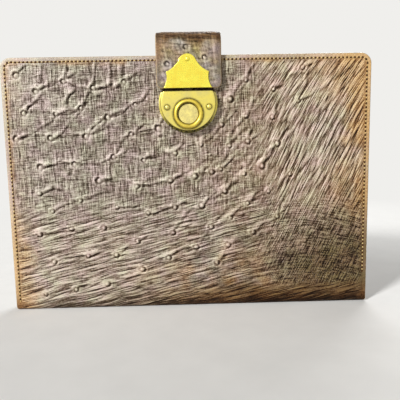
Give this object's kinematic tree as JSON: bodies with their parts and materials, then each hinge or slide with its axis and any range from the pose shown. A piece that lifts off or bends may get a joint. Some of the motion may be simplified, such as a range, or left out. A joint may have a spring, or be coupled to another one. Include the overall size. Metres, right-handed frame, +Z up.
{
  "type": "leather portfolio case",
  "caption": "Flat leather document portfolio with gusseted sides, opening at the top and closed by a strap with a brass hasp that drops onto a press-button lock.",
  "frame": {"origin": "on the surface the case stands on, under the middle of the bottom fold", "axes": "+X to the right along the front, +Y towards the back, +Z up"},
  "size_m": [0.28, 0.0237, 0.2125],
  "materials": {
    "hide": "worn semi-matt, quill bumps",
    "worn_hide": "worn semi-matt",
    "strap_hide": "worn semi-matt",
    "lining": "thin skiver leather, matt",
    "gusset": "thin folded leather, matt",
    "board": "grey pasteboard",
    "bright_brass": "polished",
    "aged_brass": "worn satin",
    "plate_brass": "plain rolled",
    "spring_steel": "drawn wire"
  },
  "bodies": {
    "back": {"back_panel": "hide", "back_board": "board", "back_lining": "lining", "bottom_fold": "worn_hide", "bottom_lining": "lining", "left_gusset": "gusset", "right_gusset": "gusset", "strap_back": "strap_hide", "strap_bend": "strap_hide"},
    "front": {"front_panel": "hide", "front_board": "board", "front_lining": "lining", "lock_case": "aged_brass", "lock_back_plate": "plate_brass", "button_collar": "bright_brass", "catch_springs": "spring_steel", "lock_rivets": "aged_brass", "rivet_washers": "plate_brass"},
    "tab": {"strap_front": "strap_hide", "hasp_plate": "bright_brass", "hasp_rivet": "bright_brass", "hasp_backing_plate": "plate_brass"},
    "button": {"button": "aged_brass"},
    "catch": {"catch_plate": "plate_brass"}
  },
  "joints": [
    {"name": "tab_swing", "type": "hinge", "parent": "back", "child": "tab", "pos_m": [0, -0.001, 0.21627], "axis": [-1, 0, 0], "range_deg": [0, 150], "deforming": ["strap_bend"]},
    {"name": "mouth_open", "type": "hinge", "parent": "back", "child": "front", "pos_m": [0, -0.00575, 0.01015], "axis": [1, 0, 0], "range_deg": [0, 9], "deforming": ["left_gusset", "right_gusset"]},
    {"name": "button_press", "type": "slide", "parent": "front", "child": "button", "axis": [0, 1, 0], "range_m": [0, 0.0015], "stiffness_N_per_m": 600, "deforming": ["catch_springs"]},
    {"name": "catch_drop", "type": "slide", "parent": "front", "child": "catch", "axis": [0, 0, -1], "range_m": [0, 0.0015]}
  ],
  "couplings": [
    {"joint": "mouth_open", "follows": "tab_swing", "ratio": 0.06},
    {"joint": "catch_drop", "follows": "button_press", "ratio": 1}
  ]
}
